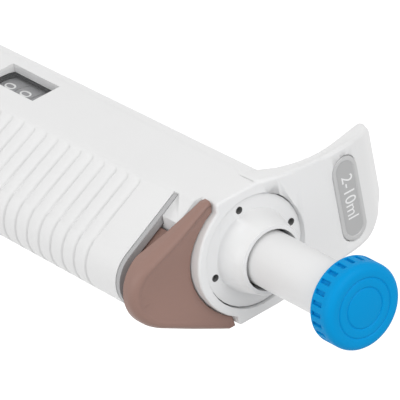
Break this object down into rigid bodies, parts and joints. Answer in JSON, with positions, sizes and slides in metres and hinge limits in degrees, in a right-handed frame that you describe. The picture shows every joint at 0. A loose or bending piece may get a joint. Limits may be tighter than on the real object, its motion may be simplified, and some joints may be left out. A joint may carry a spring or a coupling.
{
  "type": "adjustable air displacement micropipette",
  "caption": "Single-channel adjustable micropipette with push button, finger hook, thumb ejector, digit counter, ribbed grip and a spring-loaded piston in a barrel with a tip nozzle.",
  "frame": {"origin": "point on the underside of the finger hook that rests on a stand's bar, on the plane through the plunger axis", "axes": "+Z along the plunger toward the push button, +X from the hook toward the ejector side, -Y the side with the display"},
  "size_m": [0.0711, 0.0324, 0.2838],
  "materials": {
    "white_plastic": "fine satin moulding",
    "blue_plastic": "satin moulding",
    "taupe_plastic": "satin moulding",
    "grey_plastic": "satin moulding",
    "label_plastic": "smooth, with a plain printed range",
    "wheel_plastic": "smooth, with plain printed digits",
    "dark_plastic": "matte",
    "ivory_plastic": "smooth engineering plastic",
    "steel": "drawn and turned stainless steel",
    "clear_plastic": "clear, polished",
    "rubber": "smooth"
  },
  "bodies": {
    "handle": {"handle_shell": "white_plastic", "pocket_trim": "grey_plastic", "range_label": "label_plastic", "guide_bush": "dark_plastic", "spindle_bearing": "dark_plastic", "counter_chassis": "dark_plastic", "wheel_keeper": "dark_plastic", "thrust_washer": "steel", "display_lens": "clear_plastic", "blowout_spring": "steel", "ejector_spring": "steel", "end_cap": "white_plastic", "barrel_gasket": "rubber", "barrel": "white_plastic", "coupling_nut": "white_plastic", "nozzle_filter": "ivory_plastic", "nozzle_o_ring_upper": "rubber", "nozzle_o_ring_lower": "rubber"},
    "calibration": {"calibration_nut": "white_plastic"},
    "spindle": {"setting_spindle": "steel"},
    "tens_wheel": {"digit_wheel_tens": "wheel_plastic"},
    "units_wheel": {"digit_wheel_units": "wheel_plastic"},
    "tenths_wheel": {"digit_wheel_tenths": "wheel_plastic"},
    "stop": {"stop_sleeve": "ivory_plastic", "plunger_spring": "steel"},
    "plunger": {"push_button": "blue_plastic", "plunger_tube": "white_plastic", "plunger_rod": "steel", "piston": "ivory_plastic", "piston_seal": "rubber"},
    "ejector": {"ejector_button": "taupe_plastic", "ejector_rod": "steel", "rod_clip": "steel", "ejector_arm": "white_plastic"}
  },
  "joints": [
    {"name": "calibration_turn", "type": "hinge", "parent": "handle", "child": "calibration", "pos_m": [0.026, 0, 0], "axis": [0, 0, 1], "range_deg": [-180, 180]},
    {"name": "volume_turn", "type": "hinge", "parent": "handle", "child": "spindle", "pos_m": [0.026, 0, 0], "axis": [0, 0, 1], "range_deg": [-2880, 0]},
    {"name": "tens_turn", "type": "hinge", "parent": "handle", "child": "tens_wheel", "pos_m": [0.026, 0, 0], "axis": [0, 0, 1], "range_deg": [-28.8, 0]},
    {"name": "units_turn", "type": "hinge", "parent": "handle", "child": "units_wheel", "pos_m": [0.026, 0, 0], "axis": [0, 0, 1], "range_deg": [-288, 0]},
    {"name": "tenths_turn", "type": "hinge", "parent": "handle", "child": "tenths_wheel", "pos_m": [0.026, 0, 0], "axis": [0, 0, 1], "range_deg": [-2880, 0]},
    {"name": "blowout_press", "type": "slide", "parent": "spindle", "child": "stop", "axis": [0, 0, -1], "range_m": [0, 0.0032], "stiffness_N_per_m": 1500, "springref_m": -0.006, "deforming": ["blowout_spring"]},
    {"name": "plunger_press", "type": "slide", "parent": "stop", "child": "plunger", "axis": [0, 0, -1], "range_m": [0, 0.0221], "stiffness_N_per_m": 150, "springref_m": -0.02, "deforming": ["plunger_spring"]},
    {"name": "ejector_press", "type": "slide", "parent": "handle", "child": "ejector", "axis": [0, 0, -1], "range_m": [0, 0.003], "stiffness_N_per_m": 400, "springref_m": -0.01, "deforming": ["ejector_spring"]}
  ],
  "couplings": [
    {"joint": "tenths_turn", "follows": "volume_turn", "ratio": 1},
    {"joint": "units_turn", "follows": "volume_turn", "ratio": 0.1},
    {"joint": "tens_turn", "follows": "volume_turn", "ratio": 0.01}
  ]
}
